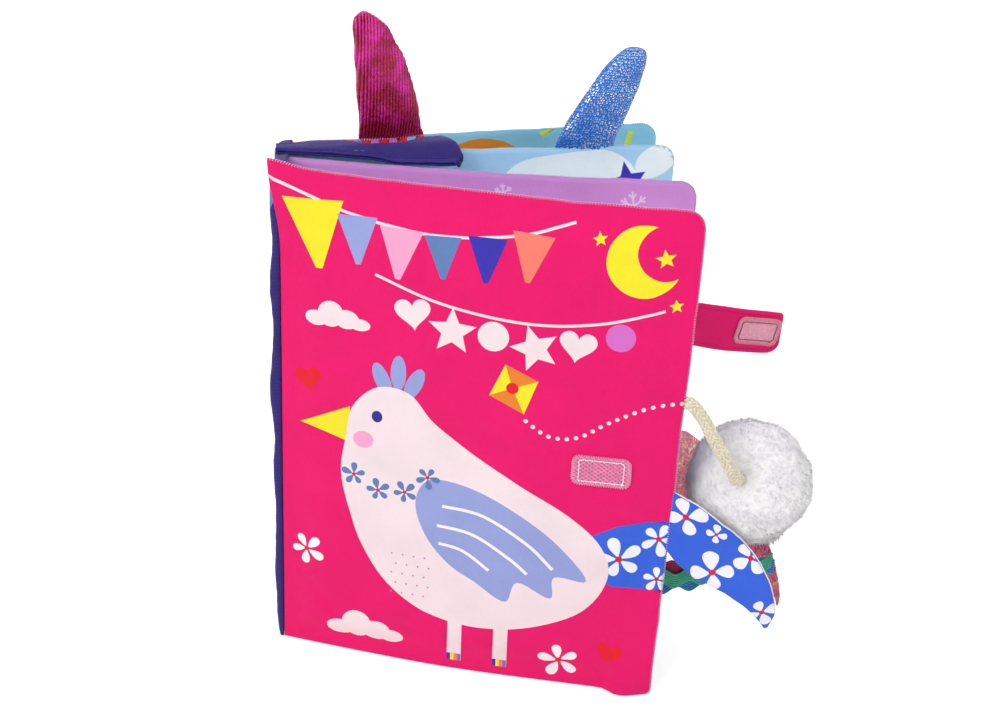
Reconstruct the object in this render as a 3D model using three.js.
// A soft cloth book for a baby, standing open like a fan: two padded covers and two padded leaves
// on a cloth spine, with a carry loop, a closing strap, and soft horns and tails to hold and pull.
// Millimetres, +Z up. The origin is on the floor, on the foot of the spine. +X runs along the
// middle of the fan, away from the spine, and the front cover is on the -Y side.

import * as THREE from 'three';

const degree = Math.PI / 180;

// One sheet, which is a cover or a leaf: two dished plies of cloth sewn together round the edge
const sheetWidth = 172;
const sheetHeight = 230;
const clothPly = 0.8;
const sewnGap = 0.3;
const seamBand = 4;
const swellRun = 14;
const swellRise = 1.9;
const cornerPower = 4;
const sheetCorners = { lowLeft: 0, lowRight: 4, topRight: 8, topLeft: 0 };
const swellShares = [0, 0.25, 0.5, 1];
const acrossCells = 4;
const upCells = 4;

// The filling of a sheet
const fillClearance = 0.3;
const filmThickness = 0.15;
const fillStartShare = 0.5;

// The spine and the places of the four sheets along its depth, front to back
const spineDepth = 30;
const spineCloth = 1.2;
const spineBulge = 3;
const spineLowShare = 0.65;
const spinePeakShare = 0.8;
const spineFoldY = -1;
const spineLineShares = [0, 0.4, 0.8, 0.9, 0.97, 1];
const hingeRoom = 1.5;
const leafOneSeamY = -4;
const leafTwoSeamY = 3;

// How each sheet stands: its lean towards the reader, and how far its middle bows that way
const frontCoverStance = { seamY: -spineDepth / 2, lean: 14.7 * degree, bow: 3.9 };
const leafOneStance = { seamY: leafOneSeamY, lean: 5.7 * degree, bow: 3.9 };
const leafTwoStance = { seamY: leafTwoSeamY, lean: -8.9 * degree, bow: 1.2 };
const backCoverStance = { seamY: spineDepth / 2, lean: -14.7 * degree, bow: -1.8 };

// The closing strap on the back cover, and the two halves of its hook and loop fastener
const strap = { length: 81, width: 21.8, thickness: 2.4, droop: 13.5, middle: 132, bevel: 0.5 };
const strapCorners = { low: 7, top: 2.5 };
const strapSagShare = 0.35;
const endSlopeShare = 1.1;
const patch = { length: 25, width: 14, thickness: 1.2, corner: 3.5 };
const patchFromStrapEnd = 14.5;
const loopPatchPlace = { x: 140.5, z: 112.5 };

// The carry loop, a strap folded double that lies over the tops of the leaves, gathered at its root
const loop = { length: 75, width: 17, ply: 1.4, endRise: 5.8, root: 9, lift: 0.5, turn: 4 * degree };
const loopOverhang = 1.5;
const loopMiddleY = 0;
const loopSlant = 4;
const loopBendSides = 8;
const loopSteps = 12;
const loopSagHeight = 3.4;
const loopRootShare = 0.5;
const loopGatherShare = 0.7;

// The two stuffed horns, sewn into the top seams
const hornPly = 0.8;
const hornSides = 14;
const pinchedHalf = 1.2;
const thinnestHalf = 0.2;
const shoulderShare = 0.5;
const closingShare = 0.9;
const stuffingStartShare = 0.05;
const magentaHorn = { from: 32, width: 30, height: 54, depth: 11 };
const blueHorn = { from: 117.5, width: 25.5, height: 43, depth: 10.5 };

// The plush ball, on a cord from the edge of the front cover
const ball = { radius: 27.5, cover: 2.5, dimpleShare: 0.145, dimpleSpread: 0.38, neck: 5.5 };
const ballNeckSpread = 0.26;
const ballPlace = { beyondEdge: 3.3, proud: 5.2, drop: 16.5 };
const dimpleAim = new THREE.Vector3(-0.44, -0.765, 0.477).normalize();
const neckAim = new THREE.Vector3(0.4, -0.08, -0.91).normalize();
const ballSides = 20;
const cordDiameter = 6;
const cordSides = 10;
const cordSteps = 12;
const cordWayFromExit = [
  new THREE.Vector3(7, -3.3, -4.9),
  new THREE.Vector3(11.7, -7.5, -12.3),
  new THREE.Vector3(17.6, -11.5, -21.1),
];
const cordExitHeight = 147.5;
const cordStraightStart = 2;
const cordStraightEnd = 3;
const cordRise = 6.5;
const cordHoleClearance = 0.4;

// The tails at the fore edge
const tailPly = 0.6;
const floralTail = { reach: 48.5, height: 59, tipHeight: 46, bulge: 5 };
const glitterTail = { reach: 64, back: 37, drop: 87, rootMiddle: 96, width: 34, thickness: 0.8 };
const ribbon = { thickness: 0.6, spacing: 0.3, width: 8, wave: 1.7, pitch: 9.5, stepsPerWave: 8 };

// Colours
const colours = {
  pink: 0xf01e7a,
  navy: 0x352a80,
  lilac: 0xc688cc,
  paleBlue: 0xa8c8e2,
  sky: 0x74b4d4,
  lining: 0xd8e6f2,
  wadding: 0xf4f2ec,
  film: 0xd9dde0,
  patchHook: 0xc98aa6,
  patchLoop: 0xf3c9da,
  magenta: 0xc01470,
  hornBlue: 0x4a86c8,
  plush: 0xf7f6f4,
  cord: 0xe4dcc0,
  floral: 0x3a6ad8,
  white: 0xf2f2f0,
  glitter: 0xb2486a,
  green: 0x2f9e78,
  blue: 0x1f6fb2,
  red: 0x7c1836,
};

const book = new THREE.Group();

function clothMaterial(colour, roughness = 0.85, metalness = 0) {
  return new THREE.MeshStandardMaterial({ color: colour, roughness, metalness });
}

function piece(name, geometry, material) {
  const mesh = new THREE.Mesh(geometry, material);
  mesh.name = name;
  return mesh;
}

function closedBody(points, triangles) {
  const geometry = new THREE.BufferGeometry();
  const positions = points.flatMap((point) => [point.x, point.y, point.z]);
  geometry.setAttribute('position', new THREE.Float32BufferAttribute(positions, 3));
  geometry.setIndex(triangles.flat());
  geometry.computeVertexNormals();
  return geometry;
}

// A slab between a front and a back surface over a grid of x and z lines
function slab(xLines, zLines, place) {
  const columns = xLines.length;
  const rows = zLines.length;
  const points = [];
  for (const side of ['front', 'back']) {
    for (const z of zLines) {
      for (const x of xLines) points.push(place(x, z, side));
    }
  }
  const front = (i, j) => j * columns + i;
  const back = (i, j) => columns * rows + front(i, j);
  const triangles = [];
  const quad = (a, b, c, d) => triangles.push([a, b, c], [a, c, d]);
  for (let i = 0; i + 1 < columns; i += 1) {
    for (let j = 0; j + 1 < rows; j += 1) {
      quad(front(i, j), front(i + 1, j), front(i + 1, j + 1), front(i, j + 1));
      quad(back(i, j), back(i, j + 1), back(i + 1, j + 1), back(i + 1, j));
    }
    quad(front(i, 0), back(i, 0), back(i + 1, 0), front(i + 1, 0));
    quad(front(i, rows - 1), front(i + 1, rows - 1), back(i + 1, rows - 1), back(i, rows - 1));
  }
  for (let j = 0; j + 1 < rows; j += 1) {
    quad(front(0, j), front(0, j + 1), back(0, j + 1), back(0, j));
    quad(front(columns - 1, j), back(columns - 1, j), back(columns - 1, j + 1), front(columns - 1, j + 1));
  }
  return closedBody(points, triangles);
}

// A body through a chain of rings that turn the same way about the chain, closed at both ends
function chainOfRings(rings) {
  const sides = rings[0].length;
  const points = rings.flat();
  const triangles = [];
  for (let ring = 0; ring + 1 < rings.length; ring += 1) {
    for (let side = 0; side < sides; side += 1) {
      const next = (side + 1) % sides;
      const [a, b] = [ring * sides + side, ring * sides + next];
      const [c, d] = [b + sides, a + sides];
      const acrossFirst = points[a].distanceTo(points[c]) <= points[b].distanceTo(points[d]);
      if (acrossFirst) triangles.push([a, b, c], [a, c, d]);
      else triangles.push([a, b, d], [b, c, d]);
    }
  }
  const middleOf = (ring) => ring.reduce((sum, p) => sum.add(p), new THREE.Vector3()).divideScalar(sides);
  const firstMiddle = points.push(middleOf(rings[0])) - 1;
  const lastMiddle = points.push(middleOf(rings.at(-1))) - 1;
  const lastRing = (rings.length - 1) * sides;
  for (let side = 0; side < sides; side += 1) {
    const next = (side + 1) % sides;
    triangles.push([firstMiddle, next, side], [lastMiddle, lastRing + side, lastRing + next]);
  }
  return closedBody(points, triangles);
}

// Grid lines that crowd towards both ends, where a sheet swells up from its sewn band
function crowdedLines(length, cells, start = 0) {
  const rim = swellShares.map((share) => seamBand + swellRun * share).filter((line) => line > start);
  const near = [start, ...rim];
  const inner = length - 2 * near.at(-1);
  const middle = Array.from({ length: cells - 1 }, (_, i) => near.at(-1) + (inner * (i + 1)) / cells);
  return [...near, ...middle, ...near.map((line) => length - line).reverse()];
}

// Pulls the rings of a square grid in, so that its corners are round
function roundedCorner(x, z, { width, height, reach, corners }) {
  const right = x > width / 2;
  const top = z > height / 2;
  const radius = corners[`${top ? 'top' : 'low'}${right ? 'Right' : 'Left'}`];
  const across = reach - (right ? width - x : x);
  const up = reach - (top ? height - z : z);
  const ring = Math.max(across, up);
  const ringRadius = (radius * ring) / reach;
  const core = ring - ringRadius;
  if (ring <= 0 || across <= core || up <= core) return { x, z };
  const scale = ringRadius / Math.hypot(across - core, up - core);
  const pulledX = reach - (core + (across - core) * scale);
  const pulledZ = reach - (core + (up - core) * scale);
  return { x: right ? width - pulledX : pulledX, z: top ? height - pulledZ : pulledZ };
}

const sheetOutline = {
  width: sheetWidth,
  height: sheetHeight,
  reach: seamBand + swellRun,
  corners: sheetCorners,
};

// How far a face has swelled above the sewn band at this place of the sheet
function swellAt(x, z) {
  const reach = seamBand + swellRun;
  const across = Math.max(0, reach - Math.min(x, sheetWidth - x));
  const up = Math.max(0, reach - Math.min(z, sheetHeight - z));
  const inward = reach - (across ** cornerPower + up ** cornerPower) ** (1 / cornerPower);
  return swellRise * THREE.MathUtils.smoothstep(inward, seamBand, reach);
}

function onSheet(x, z, offset, stance) {
  const share = x / sheetWidth;
  const bowed = 4 * stance.bow * share * (1 - share);
  return new THREE.Vector3(x, -bowed - offset, z);
}

// A layer of a sheet between two offsets from its middle, each a function of the swell
function sheetLayer(stance, xLines, zLines, frontOffset, backOffset) {
  return slab(xLines, zLines, (x, z, side) => {
    const swell = swellAt(x, z);
    const offset = side === 'front' ? frontOffset(swell) : backOffset(swell);
    const pulled = roundedCorner(x, z, sheetOutline);
    return onSheet(pulled.x, pulled.z, offset, stance);
  });
}

const sheetStart = spineCloth / 2 + sewnGap;

function sheetGroup(stance) {
  const group = new THREE.Group();
  group.position.set(sheetStart, stance.seamY, 0);
  group.rotation.z = -stance.lean;
  book.add(group);
  return group;
}

// One sheet with its two plies, its wadding and, in a leaf, a crinkling film under the front ply
function addSheet(stance, names, frontColour, backColour) {
  const group = sheetGroup(stance);
  const xLines = crowdedLines(sheetWidth, acrossCells);
  const zLines = crowdedLines(sheetHeight, upCells);
  const inner = (swell) => sewnGap / 2 + swell;
  const outer = (swell) => inner(swell) + clothPly;
  const front = sheetLayer(stance, xLines, zLines, outer, inner);
  const back = sheetLayer(stance, xLines, zLines, (s) => -inner(s), (s) => -outer(s));
  group.add(piece(names.front, front, clothMaterial(frontColour)));
  group.add(piece(names.back, back, clothMaterial(backColour)));

  const fillStart = seamBand + swellRun * fillStartShare;
  const fillX = crowdedLines(sheetWidth, acrossCells, fillStart);
  const fillZ = crowdedLines(sheetHeight, upCells, fillStart);
  const fill = (swell) => inner(swell) - fillClearance;
  const underFilm = (swell) => fill(swell) - filmThickness - fillClearance;
  const frontOfFill = names.film ? underFilm : fill;
  const wadding = sheetLayer(stance, fillX, fillZ, frontOfFill, (s) => -fill(s));
  group.add(piece(names.wadding, wadding, clothMaterial(colours.wadding, 1)));
  if (names.film) {
    const film = sheetLayer(stance, fillX, fillZ, fill, (s) => fill(s) - filmThickness);
    group.add(piece(names.film, film, clothMaterial(colours.film, 0.3)));
  }
  return group;
}

// The cloth spine, in two halves that fold along the line where the leaves are sewn in. Each half
// swells away from the fold over the seam allowances, and most of all at the top.
function addSpineHalf(name, fromY, toY) {
  const depth = toY - fromY;
  const foldFirst = fromY > spineFoldY;
  const yLines = spineLineShares.map((share) => depth * (foldFirst ? share : 1 - share));
  if (!foldFirst) yLines.reverse();
  const bulged = (y, z) => {
    const fromFold = foldFirst ? y / depth : 1 - y / depth;
    const past = Math.max(0, (fromFold - spinePeakShare) / (1 - spinePeakShare));
    const swelled = Math.min(fromFold / spinePeakShare, Math.sqrt(Math.max(0, 1 - past ** 2)));
    return spineBulge * swelled * THREE.MathUtils.lerp(spineLowShare, 1, z / sheetHeight);
  };
  const geometry = slab(yLines, [0, sheetHeight / 2, sheetHeight], (y, z, side) => {
    const offset = side === 'front' ? -spineCloth / 2 : spineCloth / 2 + bulged(y, z);
    return new THREE.Vector3(y, offset, z);
  });
  const half = piece(name, geometry, clothMaterial(colours.navy));
  half.position.y = fromY;
  half.rotation.z = Math.PI / 2;
  book.add(half);
}

// A hook or loop patch that follows the face it is sewn to
function patchGeometry(place) {
  const { length, width, corner } = patch;
  const corners = { lowLeft: corner, lowRight: corner, topRight: corner, topLeft: corner };
  const outline = { width: length, height: width, reach: corner, corners };
  const rim = [0, corner / 3, corner];
  const lines = (whole) => [...rim, whole / 2, ...rim.map((line) => whole - line).reverse()];
  return slab(lines(length), lines(width), (x, z, side) => {
    const pulled = roundedCorner(x, z, outline);
    return place(pulled.x - length / 2, pulled.z - width / 2, side);
  });
}

function addLoopPatch(frontCover) {
  const face = sewnGap / 2 + clothPly + swellRise + sewnGap;
  const geometry = patchGeometry((x, z, side) => {
    const offset = side === 'front' ? face + patch.thickness : face;
    return onSheet(loopPatchPlace.x + x, loopPatchPlace.z + z, offset, frontCoverStance);
  });
  frontCover.add(piece('loop_patch', geometry, clothMaterial(colours.patchLoop, 1)));
}

// The strap drops away from its seam, and its outer end has one round and one tight corner
function addClosingStrap(backCover) {
  const { length, width, thickness, droop, middle, bevel } = strap;
  const half = width / 2 - bevel;
  const end = length - bevel;
  const outline = new THREE.Shape();
  outline.moveTo(bevel, -half);
  outline.quadraticCurveTo(end / 2, -half - droop * strapSagShare, end - strapCorners.low, -half - droop);
  outline.quadraticCurveTo(end, -half - droop, end, -half - droop + strapCorners.low);
  outline.lineTo(end, half - droop - strapCorners.top);
  outline.quadraticCurveTo(end, half - droop, end - strapCorners.top, half - droop);
  outline.quadraticCurveTo(end / 2, half - droop * strapSagShare, bevel, half);
  const geometry = new THREE.ExtrudeGeometry(outline, {
    depth: thickness - 2 * bevel,
    bevelThickness: bevel,
    bevelSize: bevel,
    bevelSegments: 2,
    curveSegments: 6,
  });
  geometry.translate(0, 0, -thickness / 2 + bevel);
  geometry.rotateX(Math.PI / 2);
  const group = new THREE.Group();
  group.position.set(sheetWidth + sewnGap, 0, middle);
  group.add(piece('closing_strap', geometry, clothMaterial(colours.pink)));

  const slope = Math.atan((droop * endSlopeShare) / length);
  const hooks = patchGeometry((x, z, side) => {
    const face = thickness / 2 + sewnGap;
    return new THREE.Vector3(x, side === 'front' ? -face - patch.thickness : -face, z);
  });
  const hookPatch = piece('hook_patch', hooks, clothMaterial(colours.patchHook, 1));
  const patchMiddle = length - patchFromStrapEnd;
  hookPatch.position.set(patchMiddle, 0, (-droop * patchMiddle) / length);
  hookPatch.rotation.y = slope;
  group.add(hookPatch);
  backCover.add(group);
}

// A strap folded double: its two ends meet at the root, and the fold at the far end stays open
function addCarryLoop() {
  const { length, width, ply, endRise, root, lift, turn } = loop;
  const endRadius = endRise / 2;
  const bend = length - endRadius;
  const lowerLine = Array.from({ length: loopSteps + 1 }, (_, step) => (bend * step) / loopSteps);
  const outline = new THREE.Shape();
  outline.moveTo(0, 0);
  for (const x of lowerLine.slice(1)) outline.lineTo(x, 0);
  outline.absarc(bend, endRadius, endRadius, -Math.PI / 2, Math.PI / 2);
  outline.quadraticCurveTo(length / 2, loopSagHeight, root, 2 * ply);
  outline.lineTo(0, 2 * ply);
  const eye = new THREE.Path();
  eye.moveTo(root, ply);
  eye.quadraticCurveTo(length / 2, loopSagHeight - ply, bend, endRise - ply);
  eye.absarc(bend, endRadius, endRadius - ply, Math.PI / 2, -Math.PI / 2, true);
  for (const x of lowerLine.filter((line) => line > root && line < bend).reverse()) eye.lineTo(x, ply);
  eye.lineTo(root, ply);
  outline.holes.push(eye);
  const shape = { depth: width, steps: 2, bevelEnabled: false, curveSegments: loopBendSides };
  const geometry = new THREE.ExtrudeGeometry(outline, shape);
  geometry.translate(0, 0, -width / 2);
  geometry.rotateX(Math.PI / 2);
  const places = geometry.attributes.position;
  for (let i = 0; i < places.count; i += 1) {
    const share = Math.max(0, places.getX(i) / length);
    const across = (2 * places.getY(i)) / width;
    const gathered = THREE.MathUtils.smoothstep(share, 0, loopGatherShare);
    const spread = across < 0 ? THREE.MathUtils.lerp(loopRootShare, 1, gathered) : 1;
    places.setX(i, places.getX(i) - loopSlant * share ** 4 * across);
    places.setY(i, places.getY(i) * spread);
  }
  const carryLoop = piece('carry_loop', geometry, clothMaterial(colours.navy));
  carryLoop.position.set(-loopOverhang, loopMiddleY, sheetHeight + lift);
  carryLoop.rotation.z = turn;
  book.add(carryLoop);
}

// Shares of a horn: height, left and right edges across its base width, and thickness
const magentaHornShares = [
  [0, 0, 1, 0],
  [0.07, 0, 0.97, 0.5],
  [0.16, -0.005, 0.94, 0.86],
  [0.3, -0.015, 0.88, 1],
  [0.45, -0.033, 0.8, 0.97],
  [0.6, -0.06, 0.69, 0.88],
  [0.75, -0.09, 0.56, 0.74],
  [0.87, -0.104, 0.42, 0.56],
  [0.94, -0.085, 0.27, 0.4],
  [0.98, -0.03, 0.17, 0.24],
  [1, 0.03, 0.09, 0.1],
];
const blueHornShares = [
  [0, -0.02, 1, 0],
  [0.08, 0.02, 1.05, 0.5],
  [0.18, 0.09, 1.11, 0.84],
  [0.32, 0.22, 1.19, 1],
  [0.5, 0.41, 1.3, 0.98],
  [0.66, 0.59, 1.38, 0.9],
  [0.8, 0.75, 1.44, 0.8],
  [0.9, 0.88, 1.465, 0.66],
  [0.96, 0.98, 1.445, 0.46],
  [0.99, 1.06, 1.38, 0.26],
  [1, 1.13, 1.3, 0.1],
];

// Level rings of a horn, drawn in by an inset, up to where the inset closes it
function hornRings(horn, shares, inset, fromShare = 0) {
  const rings = [];
  for (const [up, left, right, thick] of shares) {
    const halfWidth = ((right - left) * horn.width) / 2 - inset;
    const halfDepth = pinchedHalf + (horn.depth / 2 - pinchedHalf) * thick - inset;
    const deepEnough = up < closingShare || halfDepth > thinnestHalf;
    if (up < fromShare || halfWidth <= thinnestHalf || !deepEnough) continue;
    const middle = horn.from + ((left + right) * horn.width) / 2;
    const height = horn.height * up - (up > shoulderShare ? inset : 0);
    const ring = Array.from({ length: hornSides }, (_, side) => {
      const angle = (side / hornSides) * 2 * Math.PI;
      const x = middle + halfWidth * Math.cos(angle);
      return new THREE.Vector3(x, Math.max(halfDepth, thinnestHalf) * Math.sin(angle), height);
    });
    rings.push(ring);
  }
  return rings;
}

function addHorn(sheet, name, horn, shares, colour, stance) {
  const skin = [...hornRings(horn, shares, hornPly).reverse(), ...hornRings(horn, shares, 0)];
  const stuffing = hornRings(horn, shares, hornPly + fillClearance, stuffingStartShare);
  const group = new THREE.Group();
  const share = (horn.from + horn.width / 2) / sheetWidth;
  group.position.set(0, -4 * stance.bow * share * (1 - share), sheetHeight + sewnGap);
  group.add(piece(`${name}_cover`, chainOfRings(skin), clothMaterial(colour, 0.35, 0.6)));
  group.add(piece(`${name}_stuffing`, chainOfRings(stuffing), clothMaterial(colours.wadding, 1)));
  sheet.add(group);
}

// The ball is drawn in round the cord, by a dimple that fades with the angle from the cord
function dimpledRadius(angle) {
  return ball.radius * (1 - ball.dimpleShare * Math.exp(-((angle / ball.dimpleSpread) ** 2)));
}

// A place beyond the front cover's fore edge: along the cover, behind it, and up
function pastFrontCover(along, behind, height) {
  const { lean, seamY } = frontCoverStance;
  const reach = sheetWidth + sewnGap + along;
  const x = sheetStart + reach * Math.cos(lean) + behind * Math.sin(lean);
  const y = seamY - reach * Math.sin(lean) + behind * Math.cos(lean);
  return new THREE.Vector3(x, y, height);
}

const ballCentre = pastFrontCover(
  ball.radius + ballPlace.beyondEdge,
  ball.radius - ballPlace.proud,
  cordExitHeight - ball.radius - ballPlace.drop,
);
const cordHoleRadius = cordDiameter / 2 + cordHoleClearance;
const outerHoleAngle = Math.asin(cordHoleRadius / dimpledRadius(0));
const innerHoleAngle = Math.asin(cordHoleRadius / (dimpledRadius(0) - ball.cover));

// Rings round the cord's axis, each at an angle from it, with the small neck raised on one side
function ballRings(angles, inset) {
  const up = dimpleAim.clone().negate();
  const sideways = new THREE.Vector3(1, 0, 0).cross(up).normalize();
  const forwards = up.clone().cross(sideways);
  return angles.map((angle) => {
    const points = [];
    for (let side = 0; side < ballSides; side += 1) {
      const turn = (side / ballSides) * 2 * Math.PI;
      const aim = sideways.clone().multiplyScalar(Math.cos(turn));
      aim.addScaledVector(forwards, Math.sin(turn)).multiplyScalar(Math.sin(angle));
      aim.addScaledVector(up, -Math.cos(angle));
      const neck = ball.neck * Math.exp(-((aim.angleTo(neckAim) / ballNeckSpread) ** 2));
      points.push(ballCentre.clone().addScaledVector(aim, dimpledRadius(angle) + neck - inset));
    }
    return points;
  });
}

const ballRingAngles = [0.3, 0.5, 0.75, 1.05, 1.35, 1.65, 1.95, 2.25, 2.5, 2.72, 2.9, 3.05];

// A plush skin with a hole for the cord, and the ball of stuffing inside it
function addBall() {
  const inside = ballRings([innerHoleAngle, ...ballRingAngles], ball.cover).reverse();
  const outside = ballRings([outerHoleAngle, ...ballRingAngles], 0);
  const stuffing = ballRings([innerHoleAngle, ...ballRingAngles], ball.cover + fillClearance);
  book.add(piece('pompom_cover', chainOfRings([...inside, ...outside]), clothMaterial(colours.plush, 1)));
  book.add(piece('pompom_stuffing', chainOfRings(stuffing), clothMaterial(colours.wadding, 1)));
}

// The cord leaves the seam of the front cover and ends in the dimple of the ball
function addCord() {
  const fromSeam = (along) => pastFrontCover(along, 0, cordExitHeight);
  const endDistance = (dimpledRadius(innerHoleAngle) - ball.cover) * Math.cos(innerHoleAngle);
  const alongAim = (distance) => ballCentre.clone().addScaledVector(dimpleAim, distance);
  const route = new THREE.CatmullRomCurve3([
    fromSeam(0),
    fromSeam(cordStraightStart),
    ...cordWayFromExit.map((step) => fromSeam(0).add(step)),
    alongAim(endDistance + cordRise),
    alongAim(endDistance + cordStraightEnd),
    alongAim(endDistance),
  ]);
  const section = new THREE.Shape();
  section.absarc(0, 0, cordDiameter / 2, 0, 2 * Math.PI);
  const geometry = new THREE.ExtrudeGeometry(section, {
    steps: cordSteps,
    curveSegments: cordSides,
    extrudePath: route,
    bevelEnabled: false,
  });
  book.add(piece('pompom_cord', geometry, clothMaterial(colours.cord, 1)));
}

// A smooth run through stations that hold numbers
function smoothStations(stations, count) {
  const columns = stations[0].length;
  return Array.from({ length: count + 1 }, (_, step) => {
    const place = (step / count) * (stations.length - 1);
    const at = Math.min(Math.floor(place), stations.length - 2);
    const rest = place - at;
    const pick = (offset, column) => {
      const index = THREE.MathUtils.clamp(at + offset, 0, stations.length - 1);
      return stations[index][column];
    };
    return Array.from({ length: columns }, (__, column) => {
      const [p0, p1, p2, p3] = [-1, 0, 1, 2].map((offset) => pick(offset, column));
      const slopeIn = (p2 - p0) / 2;
      const slopeOut = (p3 - p1) / 2;
      const square = rest * rest;
      const cube = square * rest;
      return (
        (2 * cube - 3 * square + 1) * p1 +
        (cube - 2 * square + rest) * slopeIn +
        (3 * square - 2 * cube) * p2 +
        (cube - square) * slopeOut
      );
    });
  });
}

// Shares of the flowered tail: upper edge (reach, height), lower edge (reach, height), bulge
const floralTailShares = [
  [0, 1, 0, 0.51, 0],
  [0.18, 0.95, 0.1, 0.44, 0.35],
  [0.4, 0.865, 0.25, 0.37, 0.85],
  [0.55, 0.785, 0.37, 0.33, 0.95],
  [0.68, 0.69, 0.48, 0.295, 1],
  [0.79, 0.59, 0.6, 0.255, 1],
  [0.89, 0.45, 0.73, 0.2, 0.9],
  [0.96, 0.3, 0.79, 0.155, 0.7],
  [1, 0.14, 0.86, 0.08, 0.5],
  [0.96, 0.01, 0.93, 0, 0.4],
];
const floralSteps = 16;
const acrossShares = [0, 0.33, 0.67, 1];

function addFloralTail(frontCover) {
  const stations = smoothStations(floralTailShares, floralSteps);
  const steps = stations.map((_, index) => index);
  const ply = (frontOffset) =>
    slab(steps, acrossShares, (step, across, side) => {
      const [topReach, topHeight, lowReach, lowHeight, bulge] = stations[step];
      const reach = THREE.MathUtils.lerp(lowReach, topReach, across);
      const height = THREE.MathUtils.lerp(lowHeight, topHeight, across);
      const offset = side === 'front' ? frontOffset : frontOffset - tailPly;
      return new THREE.Vector3(
        sheetWidth + sewnGap + reach * floralTail.reach,
        -bulge * floralTail.bulge - offset,
        floralTail.tipHeight + height * floralTail.height,
      );
    });
  const front = ply(sewnGap / 2 + tailPly);
  const backing = ply(-sewnGap / 2);
  frontCover.add(piece('floral_tail_front', front, clothMaterial(colours.floral)));
  frontCover.add(piece('floral_tail_backing', backing, clothMaterial(colours.white)));
}

// Shares of the glitter tail: reach, back, drop and width along its length
const glitterTailShares = [
  [0, 0, 0, 1],
  [0.11, 0.32, 0.05, 1],
  [0.205, 0.557, 0.13, 0.97],
  [0.34, 0.85, 0.25, 0.88],
  [0.54, 1, 0.42, 0.74],
  [0.755, 0.98, 0.6, 0.58],
  [0.9, 0.84, 0.76, 0.44],
  [0.97, 0.7, 0.88, 0.3],
  [1, 0.62, 0.96, 0.12],
];
const glitterSteps = 20;

function addGlitterTail(leafOne) {
  const { reach, back, drop, rootMiddle, width, thickness } = glitterTail;
  const stations = smoothStations(glitterTailShares, glitterSteps);
  const steps = stations.map((_, index) => index);
  const planPoint = (step) => new THREE.Vector2(stations[step][0] * reach, stations[step][1] * back);
  const geometry = slab(steps, acrossShares, (step, across, side) => {
    const before = planPoint(Math.max(step - 1, 0));
    const after = planPoint(Math.min(step + 1, glitterSteps));
    const heading = after.sub(before).normalize();
    const offset = side === 'front' ? thickness / 2 : -thickness / 2;
    const here = planPoint(step);
    const height = rootMiddle - stations[step][2] * drop + (across - 0.5) * stations[step][3] * width;
    return new THREE.Vector3(
      sheetWidth + sewnGap + here.x + (step > 0 ? heading.y * offset : 0),
      here.y - heading.x * offset,
      height,
    );
  });
  leafOne.add(piece('glitter_tail', geometry, clothMaterial(colours.glitter, 0.35, 0.6)));
}

// The waved ribbons, front to back, each with its length, end heights and a shift of the wave
const ribbons = [
  { name: 'green', length: 52.5, rootHeight: 36.5, endHeight: 49.5, waveShare: 0 },
  { name: 'blue', length: 54, rootHeight: 33, endHeight: 48.5, waveShare: 0.4 },
  { name: 'red', length: 40, rootHeight: 40.5, endHeight: 45, waveShare: 0.7 },
];
const ribbonRisePower = 1.3;
const ribbonEdgeShares = [-0.5, 0.5];

function addRibbons(leafOne) {
  const layer = ribbon.thickness + ribbon.spacing;
  ribbons.forEach(({ name, length, rootHeight, endHeight, waveShare }, index) => {
    const count = Math.round((length / ribbon.pitch) * ribbon.stepsPerWave);
    const steps = Array.from({ length: count + 1 }, (_, step) => (step / count) * length);
    const middleOffset = (1 - index) * layer;
    const geometry = slab(steps, ribbonEdgeShares, (x, across, side) => {
      const share = x / length;
      const turn = (x / ribbon.pitch + waveShare) * 2 * Math.PI;
      const level = THREE.MathUtils.lerp(rootHeight, endHeight, share ** ribbonRisePower);
      const offset = middleOffset + (side === 'front' ? 0.5 : -0.5) * ribbon.thickness;
      const height = level + ribbon.wave * Math.sin(turn) + across * ribbon.width;
      return new THREE.Vector3(sheetWidth + sewnGap + x, -offset, height);
    });
    leafOne.add(piece(`ribbon_${name}`, geometry, clothMaterial(colours[name])));
  });
}

const frontCover = addSheet(
  frontCoverStance,
  { front: 'front_cover_outer', back: 'front_cover_lining', wadding: 'front_cover_wadding' },
  colours.pink,
  colours.lining,
);
const leafOne = addSheet(
  leafOneStance,
  { front: 'leaf_1_front', back: 'leaf_1_back', wadding: 'leaf_1_wadding', film: 'leaf_1_crinkle_film' },
  colours.lilac,
  colours.lining,
);
const leafTwo = addSheet(
  leafTwoStance,
  { front: 'leaf_2_front', back: 'leaf_2_back', wadding: 'leaf_2_wadding', film: 'leaf_2_crinkle_film' },
  colours.paleBlue,
  colours.lining,
);
const backCover = addSheet(
  backCoverStance,
  { front: 'back_cover_lining', back: 'back_cover_outer', wadding: 'back_cover_wadding' },
  colours.sky,
  colours.pink,
);
addSpineHalf('spine_front_half', -spineDepth / 2 + hingeRoom, spineFoldY - sewnGap);
addSpineHalf('spine_back_half', spineFoldY + sewnGap, spineDepth / 2 - hingeRoom);
addLoopPatch(frontCover);
addClosingStrap(backCover);
addCarryLoop();
addHorn(backCover, 'magenta_horn', magentaHorn, magentaHornShares, colours.magenta, backCoverStance);
addHorn(leafTwo, 'blue_horn', blueHorn, blueHornShares, colours.hornBlue, leafTwoStance);
addBall();
addCord();
addFloralTail(frontCover);
addGlitterTail(leafOne);
addRibbons(leafOne);

export default book;
